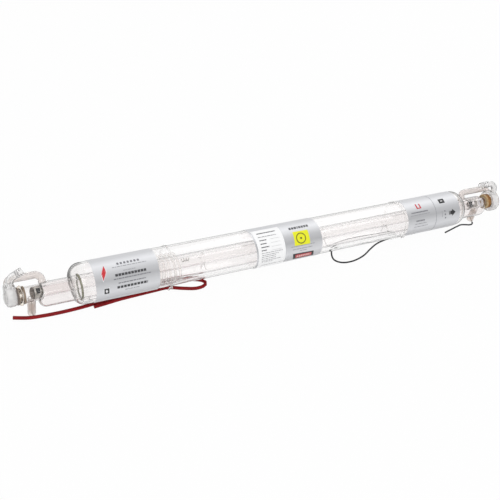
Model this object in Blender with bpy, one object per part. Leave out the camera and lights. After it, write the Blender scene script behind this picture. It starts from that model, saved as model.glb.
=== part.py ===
"""A glass carbon dioxide laser tube: gas envelope, water jacket, mirrors, electrodes and leads.

The tube lies along X and stands on its two electrode side arms. Its rear mirror is at -X
and its beam leaves at +X. The origin is on the floor below the middle of the tube.
"""

import math

import bmesh
import bpy
from mathutils import Vector

# Driving dimensions, in metres
MM = 0.001
LENGTH = 723 * MM
AXIS_HEIGHT = 32 * MM
FIT = 0.3 * MM
GLASS_WALL = 1.3 * MM

ENVELOPE_RADIUS = 25 * MM
ENVELOPE_WALL = 1.8 * MM
ENVELOPE_REAR = 75.5 * MM
ENVELOPE_FRONT = 655 * MM
ENVELOPE_SHOULDER = 14 * MM

JACKET_RADIUS = 14.5 * MM
JACKET_DROP = 5.5 * MM
JACKET_REAR = 38 * MM
JACKET_FRONT = 702.2 * MM
JACKET_SHOULDER = 8 * MM

DISCHARGE_RADIUS = 6.5 * MM
DISCHARGE_BORE = 5.0 * MM
DISCHARGE_REAR = 41.6 * MM
DISCHARGE_FRONT = 672 * MM

REAR_HEAD_RADIUS = 9.5 * MM
REAR_HEAD = (20 * MM, 42.8 * MM)
FRONT_HEAD_RADIUS = 7.3 * MM
FRONT_HEAD_BORE = 6.2 * MM
FRONT_HEAD = (673 * MM, 703 * MM)

SIDE_ARM_RADIUS = 4.75 * MM
REAR_ARM = 30.5 * MM
FRONT_ARM = 692.5 * MM
PIN_HEIGHT = 2.4 * MM
ANODE_PIN_TURN = math.radians(-90)
CATHODE_PIN_TURN = math.radians(-110)

REAR_CAP = (1 * MM, 12.5 * MM)
REAR_CAP_RADIUS = 14 * MM
REAR_CAP_RISE = 4.5 * MM
FRONT_CAP = (711.5 * MM, 723 * MM)
FRONT_CAP_RADIUS = 15.5 * MM
FRONT_CAP_BORE = 10.8 * MM

WATER_TUBE_RADIUS = 4.4 * MM
WATER_TUBE_BORE = 3.1 * MM
BRIDGE_LEAN = math.radians(50)
REAR_BRIDGE = (6.75 * MM, 45 * MM)
FRONT_BRIDGE = (717.2 * MM, 667.5 * MM)

COIL_RADIUS = 17.6 * MM
COIL_DROP = 4.2 * MM
COIL_TUBE = 1.1 * MM
COIL_BORE = 0.6 * MM
COIL_START = 181 * MM
COIL_PITCH = 6.2 * MM
COIL_TURNS = 4.5

SPRING_START = 210 * MM
SPRING_PITCH = 3.2 * MM
SPRING_RADIUS = 2.2 * MM

LABEL_GAP = 0.3 * MM
LABEL_THICK = 0.2 * MM
LABEL_FACING = math.radians(45)
LABEL_WRAP = math.radians(290)

TIE_THICK = 0.9 * MM
TIE_WIDTH = 2.6 * MM
REAR_TIE = 196.5 * MM
FRONT_TIE = 541.5 * MM

RED_RADIUS = 2.2 * MM
BLACK_RADIUS = 1.1 * MM


def clear_scene():
    for obj in list(bpy.data.objects):
        bpy.data.objects.remove(obj)


def at(station):
    """The X of a station, measured from the rear end of the tube."""
    return station - LENGTH / 2


def finish(name, colour, roughness=0.3, metallic=0.0, alpha=1.0):
    """A Principled material, made once for each name."""
    known = bpy.data.materials.get(name)
    if known:
        return known
    mat = bpy.data.materials.new(name)
    mat.use_nodes = True
    shader = mat.node_tree.nodes["Principled BSDF"]
    shader.inputs["Base Color"].default_value = (*colour, 1.0)
    shader.inputs["Roughness"].default_value = roughness
    shader.inputs["Metallic"].default_value = metallic
    shader.inputs["Alpha"].default_value = alpha
    mat.diffuse_color = (*colour, alpha)
    return mat


def glass():
    return finish("borosilicate_glass", (0.93, 0.92, 0.91), roughness=0.05, alpha=0.35)


def steel():
    return finish("nickel_steel", (0.55, 0.51, 0.47), roughness=0.35, metallic=1.0)


def foil():
    return finish("silver_foil", (0.70, 0.71, 0.74), roughness=0.45, metallic=0.4)


def add_object(name, bm, material, smooth_angle=40):
    """Close a mesh, point its faces out, shade it and put it in the scene."""
    bmesh.ops.remove_doubles(bm, verts=bm.verts, dist=1e-7)
    bmesh.ops.recalc_face_normals(bm, faces=bm.faces)
    mesh = bpy.data.meshes.new(name)
    bm.to_mesh(mesh)
    bm.free()
    mesh.materials.append(material)
    mesh.shade_smooth()
    mesh.set_sharp_from_angle(angle=math.radians(smooth_angle))
    obj = bpy.data.objects.new(name, mesh)
    bpy.context.collection.objects.link(obj)
    return obj


def combine(target, tool, operation="DIFFERENCE"):
    """Cut the tool out of the target, or join it on, and drop the tool."""
    boolean = target.modifiers.new(operation.lower(), "BOOLEAN")
    boolean.operation = operation
    boolean.solver = "EXACT"
    boolean.object = tool
    bpy.context.view_layer.update()
    depsgraph = bpy.context.evaluated_depsgraph_get()
    mesh = bpy.data.meshes.new_from_object(target.evaluated_get(depsgraph))
    target.modifiers.clear()
    target.data = mesh
    mesh.name = target.name
    bpy.data.objects.remove(tool)


def turned(name, outline, material, rise=0.0, steps=24):
    """Spin an outline of (station, radius) about an axis that runs along X."""
    bm = bmesh.new()
    verts = [bm.verts.new((at(station), 0.0, radius)) for station, radius in outline]
    edges = [bm.edges.new(pair) for pair in zip(verts, verts[1:])]
    if outline[0][1] > 0:
        edges.append(bm.edges.new((verts[-1], verts[0])))
    bmesh.ops.spin(bm, geom=verts + edges, axis=(1, 0, 0), cent=(0, 0, 0),
                   angle=math.tau, steps=steps, use_duplicate=False)
    bmesh.ops.translate(bm, verts=bm.verts, vec=(0, 0, AXIS_HEIGHT + rise))
    return add_object(name, bm, material)


def corner(station, radius, bend, start, end, count=3):
    """Points of an arc in an outline, about (station, radius), from start to end degrees."""
    points = []
    for step in range(count + 1):
        angle = math.radians(start + (end - start) * step / count)
        points.append((station + bend * math.cos(angle), radius + bend * math.sin(angle)))
    return points


def shell_outline(rear, front, radius, wall, shoulder, mouth):
    """A tube whose two ends round inward to a mouth, as a blown shell's section."""
    inner = shoulder - wall
    flat = radius - shoulder
    outline = [(rear, mouth)]
    outline += corner(rear + shoulder, flat, shoulder, 180, 90, count=4)
    outline += corner(front - shoulder, flat, shoulder, 90, 0, count=4)
    outline += [(front, mouth), (front - wall, mouth)]
    outline += corner(front - shoulder, flat, inner, 0, 90)
    outline += corner(rear + shoulder, flat, inner, 90, 180)
    outline += [(rear + wall, mouth)]
    return outline


def sweep(name, path, radii, material, bore=None, sides=14):
    """A tube through the points of a path; with a bore it is open at both ends."""
    bm = bmesh.new()
    tangents = []
    for index in range(len(path)):
        before = path[max(index - 1, 0)]
        after = path[min(index + 1, len(path) - 1)]
        tangents.append((after - before).normalized())
    side = tangents[0].orthogonal().normalized()
    outer = []
    inner = []
    for point, tangent, radius in zip(path, tangents, radii):
        side = (side - tangent * side.dot(tangent)).normalized()
        across = tangent.cross(side)
        spokes = []
        for step in range(sides):
            angle = math.tau * step / sides
            spokes.append(side * math.cos(angle) + across * math.sin(angle))
        outer.append([bm.verts.new(point + spoke * radius) for spoke in spokes])
        if bore:
            inner.append([bm.verts.new(point + spoke * bore) for spoke in spokes])
    for rings in (outer, inner):
        for ring, following in zip(rings, rings[1:]):
            bridge_rings(bm, ring, following)
    if bore:
        bridge_rings(bm, outer[0], inner[0])
        bridge_rings(bm, outer[-1], inner[-1])
    else:
        bm.faces.new(outer[0])
        bm.faces.new(outer[-1])
    return add_object(name, bm, material)


def bridge_rings(bm, ring, following):
    for index in range(len(ring)):
        after = (index + 1) % len(ring)
        bm.faces.new((ring[index], ring[after], following[after], following[index]))


def rod(name, start, end, radius, material, bore=None, sides=24):
    return sweep(name, [start, end], [radius, radius], material, bore, sides)


def spoke_point(station, reach, lean=0.0):
    """A point beside the tube: reach is its distance from the axis, lean its turn to the back."""
    return Vector((at(station), reach * math.sin(lean), AXIS_HEIGHT + reach * math.cos(lean)))


def bent_path(station, reach, heading, lean, moves):
    """The middle of a tube that runs and turns in the plane through the axis at this lean.

    A heading of 0 is towards +X and 90 is away from the axis. A move is a run in metres, or
    a turn of (degrees, bend radius), to the left where the degrees are positive.
    """
    points = [spoke_point(station, reach, lean)]
    for move in moves:
        if not isinstance(move, tuple):
            station += move * math.cos(math.radians(heading))
            reach += move * math.sin(math.radians(heading))
            points.append(spoke_point(station, reach, lean))
            continue
        turn, bend = move
        side = math.copysign(1, turn)
        count = max(2, round(abs(turn) / 22))
        centre = (station - side * bend * math.sin(math.radians(heading)),
                  reach + side * bend * math.cos(math.radians(heading)))
        for step in range(1, count + 1):
            angle = math.radians(heading + turn * step / count)
            station = centre[0] + side * bend * math.sin(angle)
            reach = centre[1] - side * bend * math.cos(angle)
            points.append(spoke_point(station, reach, lean))
        heading += turn
    return points


# Gas envelope

def gas_envelope():
    """The wide outer shell holds the gas and is sealed on the jacket at both ends."""
    outline = shell_outline(ENVELOPE_REAR, ENVELOPE_FRONT, ENVELOPE_RADIUS, ENVELOPE_WALL,
                            ENVELOPE_SHOULDER, mouth=5 * MM)
    envelope = turned("outer_envelope", outline, glass(), steps=28)
    centre = AXIS_HEIGHT - JACKET_DROP
    hole = rod("hole", Vector((at(ENVELOPE_REAR) - 0.01, 0, centre)),
               Vector((at(ENVELOPE_FRONT) + 0.01, 0, centre)),
               JACKET_RADIUS + FIT, glass(), sides=24)
    combine(envelope, hole)


# Water jacket

def head_clearance():
    """The stepped room that the rear head and the discharge tube take through its end."""
    near, far = REAR_HEAD
    wide = REAR_HEAD_RADIUS + FIT
    narrow = DISCHARGE_RADIUS + FIT
    beyond = far + 20 * MM
    return turned("clearance", [(near, 0), (near, wide), (far + FIT, wide), (far + FIT, narrow),
                                (beyond, narrow), (beyond, 0)], glass())


def water_jacket():
    """Cooling water runs in this tube. It sits low so that the gas coil clears the shell."""
    outline = shell_outline(JACKET_REAR, JACKET_FRONT, JACKET_RADIUS, GLASS_WALL,
                            JACKET_SHOULDER, mouth=3 * MM)
    jacket = turned("water_jacket", outline, glass(), rise=-JACKET_DROP)
    combine(jacket, head_clearance())
    combine(jacket, rod("front_clearance", spoke_point(690 * MM, 0), spoke_point(710 * MM, 0),
                        FRONT_HEAD_RADIUS + FIT, glass()))
    combine(jacket, rod("arm_clearance", spoke_point(FRONT_ARM, -10 * MM),
                        spoke_point(FRONT_ARM, -26 * MM), SIDE_ARM_RADIUS + FIT, glass(), sides=16))
    for station in (REAR_BRIDGE[1], FRONT_BRIDGE[1]):
        combine(jacket, rod("bridge_clearance", spoke_point(station, 8.2 * MM, BRIDGE_LEAN),
                            spoke_point(station, 16 * MM, BRIDGE_LEAN),
                            WATER_TUBE_RADIUS + 2 * FIT, glass(), sides=12))


def jacket_seal():
    """A soft ring sits round the jacket, just inside the envelope's rear shoulder."""
    near = ENVELOPE_REAR + 9.5 * MM
    inner = JACKET_RADIUS + FIT
    outer = inner + 1.4 * MM
    outline = [(near, inner), (near + 0.6 * MM, outer), (near + 1.9 * MM, outer),
               (near + 2.5 * MM, inner)]
    seal = finish("olive_rubber", (0.16, 0.15, 0.10), roughness=0.6)
    turned("jacket_seal", outline, seal, rise=-JACKET_DROP)


# Discharge tube and gas return

def discharge_tube():
    """The beam is made in this narrow bore, which runs straight from head to head."""
    rod("discharge_tube", spoke_point(DISCHARGE_REAR, 0), spoke_point(DISCHARGE_FRONT, 0),
        DISCHARGE_RADIUS, glass(), DISCHARGE_BORE, sides=24)


def gas_return_coil():
    """A thin coil round the jacket lets gas back to the far end but is too long to arc."""
    per_turn = 12
    count = int(COIL_TURNS * per_turn)
    path = []
    for step in range(count + 1):
        angle = math.tau * step / per_turn
        path.append(Vector((at(COIL_START + COIL_PITCH * step / per_turn),
                            COIL_RADIUS * math.sin(angle),
                            AXIS_HEIGHT - COIL_DROP + COIL_RADIUS * math.cos(angle))))
    sweep("gas_return_coil", path, [COIL_TUBE] * len(path), glass(), COIL_BORE, sides=5)


def spacers():
    """Glass rings hold the discharge tube in the jacket; water passes through their slots."""
    for number, station in enumerate((243, 420, 522), start=1):
        near = station * MM
        far = near + 2 * MM
        ring = turned(f"spacer_ring_{number}",
                      [(near, DISCHARGE_RADIUS + FIT), (near, DISCHARGE_RADIUS + 1 * MM),
                       (far, DISCHARGE_RADIUS + 1 * MM), (far, DISCHARGE_RADIUS + FIT)],
                      glass(), steps=16)
        for turn in (120, 180, 240):
            angle = math.radians(turn)
            room = jacket_room(angle)
            leg = rod("leg", spoke_point(near + 1 * MM, DISCHARGE_RADIUS + 0.6 * MM, angle),
                      spoke_point(near + 1 * MM, room - 2.5 * FIT, angle), 0.9 * MM, glass(), sides=6)
            combine(ring, leg, "UNION")


def jacket_room(angle):
    """Distance from the tube's axis to the jacket's inner wall, in a given direction."""
    inner = JACKET_RADIUS - GLASS_WALL
    drop = JACKET_DROP * math.cos(angle)
    return -drop + math.sqrt(drop * drop + inner * inner - JACKET_DROP ** 2)


def support_spring():
    """A small wire spring clipped over the jacket steadies it inside the envelope."""
    per_turn = 6
    path = []
    for step in range(3 * per_turn + 1):
        angle = math.tau * step / per_turn
        path.append(Vector((at(SPRING_START + SPRING_PITCH * step / per_turn),
                            -9 * MM + SPRING_RADIUS * math.sin(angle),
                            AXIS_HEIGHT + 13.5 * MM + SPRING_RADIUS * math.cos(angle))))
    sweep("support_spring", path, [0.45 * MM] * len(path), steel(), sides=5)


# Heads with their side arms

def side_arm(station, top, name):
    foot = Vector((at(station), 0, 0))
    return rod(name, spoke_point(station, top), foot, SIDE_ARM_RADIUS, glass(), sides=16)


def arm_bore(station, top):
    below = Vector((at(station), 0, -2 * MM))
    return rod("bore", spoke_point(station, top), below, SIDE_ARM_RADIUS - GLASS_WALL, glass(),
               sides=16)


def lead_port(station, turn):
    """A hole low in a side arm's wall, where the lead's pin comes out."""
    near = Vector((at(station), 0, PIN_HEIGHT))
    far = near + 8 * MM * Vector((math.cos(turn), math.sin(turn), 0))
    return rod("port", near, far, 0.95 * MM, glass(), sides=8)


def anode_head():
    """A wide glass head carries the mirror, and its side arm carries the high voltage lead."""
    near, far = REAR_HEAD
    radius = REAR_HEAD_RADIUS
    bore = radius - GLASS_WALL
    bend = 2 * MM
    outline = [(near, bore), (near, radius)]
    outline += corner(far - bend, radius - bend, bend, 90, 0)
    outline += [(far, DISCHARGE_RADIUS + FIT), (far - GLASS_WALL, DISCHARGE_RADIUS + FIT),
                (far - GLASS_WALL, bore)]
    head = turned("anode_head", outline, glass())
    combine(head, side_arm(REAR_ARM, -8.6 * MM, "arm"), "UNION")
    combine(head, arm_bore(REAR_ARM, -6 * MM))
    combine(head, lead_port(REAR_ARM, ANODE_PIN_TURN))


def cathode_head():
    """The front head lies inside the jacket, and its side arm passes through the jacket."""
    near, far = FRONT_HEAD
    head = rod("cathode_head", spoke_point(near, 0), spoke_point(far, 0),
               FRONT_HEAD_RADIUS, glass(), FRONT_HEAD_BORE)
    combine(head, side_arm(FRONT_ARM, -6.7 * MM, "arm"), "UNION")
    combine(head, arm_bore(FRONT_ARM, -4 * MM))
    combine(head, lead_port(FRONT_ARM, CATHODE_PIN_TURN))


def electrode(name, near, far, radius, window):
    """A rolled nickel sleeve with a window, welded to the pin of its lead."""
    wall = 0.5 * MM
    sleeve = turned(name, [(near, radius - wall), (near, radius), (far, radius),
                           (far, radius - wall)], steel(), steps=20)
    bm = bmesh.new()
    bmesh.ops.create_cube(bm, size=1)
    bmesh.ops.scale(bm, vec=(5.5 * MM, 4.4 * MM, 8 * MM), verts=bm.verts)
    cutter = add_object("window", bm, steel())
    cutter.location = spoke_point(window, radius, -math.radians(40))
    cutter.rotation_euler = (math.radians(40), 0, 0)
    combine(sleeve, cutter)


def lead_pin(name, station, turn, top, landing):
    """A pin runs down the side arm from its electrode and turns out through the port."""
    base = Vector((at(station), 0, 0))
    out = Vector((math.cos(turn), math.sin(turn), 0))
    bend = 1.5 * MM
    path = [base + Vector((0, 0, AXIS_HEIGHT + top)), base + Vector((0, 0, 8 * MM))]
    for step in range(5):
        angle = math.radians(90 * step / 4)
        path.append(base + out * bend * (1 - math.cos(angle))
                    + Vector((0, 0, PIN_HEIGHT + bend * (1 - math.sin(angle)))))
    path.append(base + out * landing + Vector((0, 0, PIN_HEIGHT)))
    sweep(name, path, [0.6 * MM] * len(path), steel(), sides=8)


def lead_pins():
    lead_pin("anode_lead_pin", REAR_ARM, ANODE_PIN_TURN, -7.6 * MM, 6.2 * MM)
    lead_pin("cathode_lead_pin", FRONT_ARM, CATHODE_PIN_TURN, -4.0 * MM, 8.6 * MM)


# Rear mirror and its water cap

def rear_mirror_group():
    """The rear mirror is cemented between its glass seat and the water cap behind it."""
    near = REAR_CAP[1] + FIT
    coated = finish("mirror_silicon", (0.33, 0.27, 0.25), roughness=0.12, metallic=0.9)
    turned("rear_mirror", [(near, 0), (near, 8 * MM), (near + 3 * MM, 8 * MM),
                           (near + 3 * MM, 0)], coated)
    seat = near + 3 * MM + FIT
    turned("rear_mirror_seat",
           [(seat, 6.8 * MM), (seat, 11 * MM)]
           + corner(seat + 2.2 * MM, 10.8 * MM, 1.2 * MM, 90, 0, count=2)
           + [(seat + 3.4 * MM, 6.8 * MM)], glass())
    cement = finish("amber_cement", (0.36, 0.22, 0.13), roughness=0.5)
    turned("rear_seal_ring",
           [(near + 0.2 * MM, 8 * MM + FIT), (near + 0.2 * MM, 10.4 * MM),
            (near + 2.8 * MM, 10.4 * MM), (near + 2.8 * MM, 8 * MM + FIT)], cement)


def cap_outline(near, far, radius, bore, bend):
    outline = [(near, bore)]
    outline += corner(near + bend, radius - bend, bend, 180, 90)
    outline += corner(far - bend, radius - bend, bend, 90, 0)
    return outline + [(far, bore)]


def cap_box(name, ends, radius, bore, bend, rise=0.0):
    """A closed round box of blown glass, with a hole through its middle if it has a bore."""
    wall = GLASS_WALL
    near, far = ends
    cap = turned(name, cap_outline(near, far, radius, bore, bend), glass(), rise, steps=20)
    inner_bore = bore + wall if bore else 0
    room = cap_outline(near + wall, far - wall, radius - wall, inner_bore, bend - wall)
    combine(cap, turned("room", room, glass(), rise, steps=20))
    return cap


def cap_ports(cap, station, reach):
    """Round holes in a cap's rim for its hose nozzle and its bridge tube."""
    for lean in (0.0, BRIDGE_LEAN):
        combine(cap, rod("port", spoke_point(station, reach, lean),
                         spoke_point(station, reach + 9 * MM, lean),
                         WATER_TUBE_RADIUS + 2 * FIT, glass(), sides=12))


def rear_water_cap():
    """This one covers the rear mirror's back, and is open to it and to its two tubes."""
    near, far = REAR_CAP
    cap = cap_box("rear_water_cap", REAR_CAP, REAR_CAP_RADIUS, 0, 3 * MM, REAR_CAP_RISE)
    buried = near + GLASS_WALL / 2
    boss = turned("boss", [(0, 0), (0, 6.2 * MM), (buried, 7.2 * MM), (buried, 0)], glass(),
                  steps=16)
    combine(cap, boss, "UNION")
    combine(cap, rod("mirror_port", spoke_point(far - 3 * MM, 0), spoke_point(far + 3 * MM, 0),
                     6.3 * MM, glass(), sides=16))
    cap_ports(cap, REAR_BRIDGE[0], 13 * MM)


# Output coupler and its water cap

def output_group():
    """The output coupler is cemented to a flange on the front head, inside the water ring."""
    flange = FRONT_HEAD[1] + FIT
    turned("front_flange", [(flange, 6.2 * MM), (flange, 10 * MM), (flange + 2.6 * MM, 11 * MM),
                            (flange + 2.6 * MM, 6.2 * MM)], glass())
    brass = finish("brass", (0.62, 0.40, 0.16), roughness=0.3, metallic=0.9)
    seat = flange + 2.6 * MM + FIT
    turned("coupler_seat", [(seat, 7.4 * MM), (seat, 10.3 * MM), (seat + 4.5 * MM, 10.3 * MM),
                            (seat + 4.5 * MM, 7.4 * MM)], brass)
    lens = seat + 4.5 * MM + FIT
    selenide = finish("zinc_selenide", (0.80, 0.52, 0.14), roughness=0.1, alpha=0.75)
    turned("output_coupler", [(lens, 0), (lens, 9 * MM), (lens + 3.2 * MM, 9 * MM),
                              (lens + 3.2 * MM, 0)], selenide)
    ring = lens + 3.2 * MM + FIT
    turned("coupler_retainer", [(ring, 7.2 * MM), (ring, 10.3 * MM), (ring + 2.2 * MM, 10.3 * MM),
                                (ring + 2.2 * MM, 7.2 * MM)], brass)


def front_water_cap():
    """An annular glass box cools the coupler and leaves its middle open for the beam."""
    cap = cap_box("front_water_cap", FRONT_CAP, FRONT_CAP_RADIUS, FRONT_CAP_BORE, 2.2 * MM)
    cap_ports(cap, FRONT_BRIDGE[0], 13.2 * MM)


# Water tubes

def bridge_tube(name, path):
    """A bypass tube takes the water over the head, from the jacket to the cap."""
    sweep(name, path, [WATER_TUBE_RADIUS] * len(path), glass(), WATER_TUBE_BORE, sides=10)


def rear_bridge():
    """This one leaves the cap, passes over the head and slopes down to the jacket."""
    moves = [0.6 * MM, (-90, 4.8 * MM), 26.6 * MM, (-50, 6 * MM), 1.5 * MM, (-40, 5.5 * MM)]
    path = bent_path(REAR_BRIDGE[0], 14.9 * MM, 90, BRIDGE_LEAN, moves)
    path.append(spoke_point(REAR_BRIDGE[1], 10 * MM, BRIDGE_LEAN))
    bridge_tube("rear_bridge_tube", path)


def front_bridge():
    """This one rises beside the envelope's shoulder and runs level to the front cap."""
    bend = 4.8 * MM
    drop = 6 * MM
    level = FRONT_BRIDGE[0] - FRONT_BRIDGE[1] - bend - drop
    moves = [0.6 * MM, (90, bend), level, (90, drop)]
    path = bent_path(FRONT_BRIDGE[0], 13.8 * MM, 90, BRIDGE_LEAN, moves)
    path.append(spoke_point(FRONT_BRIDGE[1], 9.4 * MM, BRIDGE_LEAN))
    bridge_tube("front_bridge_tube", path)


def nozzle(name, path, barbs):
    """A hose nozzle bends over from the top of its cap and ends in three moulded barbs."""
    radii = [WATER_TUBE_RADIUS] * len(path)
    heading = (path[-1] - path[-2]).normalized()
    base = path[-1].copy()
    root = WATER_TUBE_RADIUS - 0.4 * MM
    for barb in range(3):
        for along, swell in ((0.15, 0.0), (0.25, 0.7), (0.8, 0.0)):
            path.append(base + heading * barbs * (barb + along) / 3)
            radii.append(root + swell * MM)
    path.append(base + heading * barbs)
    radii.append(root)
    sweep(name, path, radii, glass(), WATER_TUBE_BORE - 0.2 * MM, sides=10)


def nozzles():
    rear = bent_path(REAR_BRIDGE[0], 17.3 * MM, 90, 0.0,
                     [6 * MM, (-62, 11 * MM), 1.5 * MM])
    nozzle("rear_hose_nozzle", rear, 8 * MM)
    front = bent_path(FRONT_BRIDGE[0], 14.1 * MM, 90, 0.0, [2 * MM, (90, 17 * MM), 3 * MM])
    nozzle("front_hose_nozzle", front, 12 * MM)


# Labels and cable ties

def wrap(name, near, far, facing, spread, gap, material, steps):
    """A thin sheet wrapped on the envelope, centred on a direction and spread about it."""
    inner = ENVELOPE_RADIUS + gap
    outer = inner + LABEL_THICK
    bm = bmesh.new()
    sections = []
    for step in range(steps + 1):
        angle = facing + spread * (step / steps - 0.5)
        corners = [spoke_point(near, inner, angle), spoke_point(near, outer, angle),
                   spoke_point(far, outer, angle), spoke_point(far, inner, angle)]
        sections.append([bm.verts.new(point) for point in corners])
    for section, following in zip(sections, sections[1:]):
        bridge_rings(bm, section, following)
    bm.faces.new(sections[0])
    bm.faces.new(sections[-1])
    add_object(name, bm, material)


def labels():
    """Foil sheets are wrapped on the glass, with a white table pasted on the middle one."""
    facing = -LABEL_FACING
    for name, near, far in (("rear_label", 100.5, 178), ("centre_label", 308, 404),
                            ("front_label", 546, 638)):
        wrap(name, near * MM, far * MM, facing, LABEL_WRAP, LABEL_GAP, foil(), steps=24)
    paper = finish("white_paper", (0.93, 0.93, 0.93), roughness=0.7)
    wrap("data_label", 311 * MM, 351 * MM, facing + math.radians(2), math.radians(104),
         2 * LABEL_GAP + LABEL_THICK, paper, steps=10)


def hull(points):
    """The convex outline of points in a plane, counter-clockwise."""
    points = sorted(points)

    def chain(ordered):
        kept = []
        for point in ordered:
            while len(kept) > 1 and turn_of(kept[-2], kept[-1], point) <= 0:
                kept.pop()
            kept.append(point)
        return kept[:-1]

    return chain(points) + chain(points[::-1])


def turn_of(a, b, c):
    return (b[0] - a[0]) * (c[1] - a[1]) - (b[1] - a[1]) * (c[0] - a[0])


def round_points(y, z, radius, count):
    points = []
    for step in range(count):
        angle = math.tau * step / count
        points.append((y + radius * math.cos(angle), z + radius * math.sin(angle)))
    return points


def strap_outline(grow, leads, lead_radius):
    """A strap pulled round the envelope and the leads below it."""
    points = round_points(0, AXIS_HEIGHT, ENVELOPE_RADIUS + FIT + grow, 32)
    for y, z in leads:
        points += round_points(y, z, lead_radius + 2 * FIT + grow, 8)
    return hull(points)


def prism(name, outline, near, far, material):
    bm = bmesh.new()
    base = [bm.verts.new((at(near), y, z)) for y, z in outline]
    bm.faces.new(base)
    top = bmesh.ops.extrude_face_region(bm, geom=bm.faces[:])["geom"]
    moved = [part for part in top if isinstance(part, bmesh.types.BMVert)]
    bmesh.ops.translate(bm, verts=moved, vec=(far - near, 0, 0))
    return add_object(name, bm, material)


def cable_tie(name, station, leads, lead_radius, head_at):
    """A clear nylon tie holds the leads against the tube, with its lock box at the front."""
    near = station - TIE_WIDTH / 2
    far = station + TIE_WIDTH / 2
    nylon = finish("clear_nylon", (0.90, 0.88, 0.86), roughness=0.35, alpha=0.6)
    tie = prism(name, strap_outline(TIE_THICK, leads, lead_radius), near, far, nylon)
    bm = bmesh.new()
    bmesh.ops.create_cube(bm, size=1)
    bmesh.ops.scale(bm, vec=(4.4 * MM, 4.6 * MM, 3.4 * MM), verts=bm.verts)
    head = add_object("head", bm, nylon)
    head.location = spoke_point(station, ENVELOPE_RADIUS + 1.9 * MM, -head_at)
    head.rotation_euler = (head_at, 0, 0)
    combine(tie, head, "UNION")
    room = prism("room", strap_outline(0, leads, lead_radius), near - 4 * MM, far + 4 * MM, nylon)
    combine(tie, room)


# Leads

def smooth_route(points, spacing):
    """Points a set distance apart on a Catmull-Rom curve through a route's own points."""
    route = [Vector(point) for point in points]
    route = [2 * route[0] - route[1]] + route + [2 * route[-1] - route[-2]]
    fine = []
    for index in range(1, len(route) - 2):
        p0, p1, p2, p3 = route[index - 1:index + 3]
        for step in range(24):
            t = step / 24
            fine.append(0.5 * (2 * p1 + (p2 - p0) * t + (2 * p0 - 5 * p1 + 4 * p2 - p3) * t * t
                               + (3 * p1 - p0 - 3 * p2 + p3) * t ** 3))
    fine.append(route[-2])
    total = sum((b - a).length for a, b in zip(fine, fine[1:]))
    count = round(total / spacing)
    spaced = [fine[0]]
    travelled = 0.0
    for a, b in zip(fine, fine[1:]):
        length = (b - a).length
        while len(spaced) < count and travelled + length >= total * len(spaced) / count:
            part = (total * len(spaced) / count - travelled) / length
            spaced.append(a.lerp(b, part))
        travelled += length
    return spaced + [fine[-1]]


def lead(name, route, radius, spacing, material):
    """A flexible lead, as a round bevel on a curve with its ends filled."""
    points = smooth_route([(at(x * MM), y * MM, z * MM) for x, y, z in route], spacing)
    curve = bpy.data.curves.new(name, "CURVE")
    curve.dimensions = "3D"
    curve.bevel_depth = radius
    curve.bevel_resolution = 2
    curve.use_fill_caps = True
    spline = curve.splines.new("POLY")
    spline.points.add(len(points) - 1)
    for target, point in zip(spline.points, points):
        target.co = (*point, 1.0)
    curve.materials.append(material)
    bpy.context.collection.objects.link(bpy.data.objects.new(name, curve))


# Each row of a route is a station and the lead's place across and above the floor, in mm
RED_ROUTE = [
    (8, -3.0, 2.3), (16, -5.8, 2.3), (26, -8.6, 2.3), (38, -9.8, 2.3), (54, -10.6, 2.3),
    (74, -10.4, 2.3), (94, -9.2, 2.3), (112, -7.0, 2.3), (134, -5.0, 2.3), (158, -3.6, 2.3),
    (180, -2.0, 3.0), (196.5, -1.2, 3.9), (212, -0.6, 3.0), (228, -2.2, 2.3),
    (241, -6.6, 2.3), (246.5, -12.6, 2.3), (242, -18.2, 2.3), (230, -19.4, 2.3),
    (214, -15.2, 3.0), (196.5, -10.2, 4.5), (180, -9.0, 3.2), (158, -9.0, 2.3),
    (134, -10.1, 2.3), (116, -12.0, 2.3), (101, -13.4, 2.3)]

BLACK_ROUTE = [
    (689.2, -8.9, 2.4), (687.2, -11.6, 1.8), (682.5, -12.0, 1.3), (676.5, -9.9, 1.2),
    (668.1, -8.0, 1.2), (661.5, -9.3, 1.2), (655.2, -10.7, 1.2), (643.4, -13.7, 1.2),
    (632.2, -16.5, 1.2)]

LOOP_ROUTE = [
    (585, -1.2, 1.6), (570, -1.4, 2.6), (556, -0.2, 3.2), (541.5, 1.2, 3.3),
    (527, 2.8, 2.4), (510, 5.0, 1.3), (496, 6.6, 1.2), (478, 6.8, 1.2), (460, 3.8, 1.2),
    (444.5, -1.7, 1.2), (437.3, -11.2, 1.2), (434.9, -21.1, 1.2), (439.8, -28.1, 1.2),
    (449.9, -31.5, 1.2), (464.8, -30.8, 1.2), (481.6, -25.7, 1.2), (497.8, -16.9, 1.2),
    (512.8, -9.8, 1.3), (527, -6.8, 2.2), (541.5, -5.8, 3.3), (556, -5.4, 2.6), (570, -5.0, 1.6),
    (584.7, -4.6, 1.2)]


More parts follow.
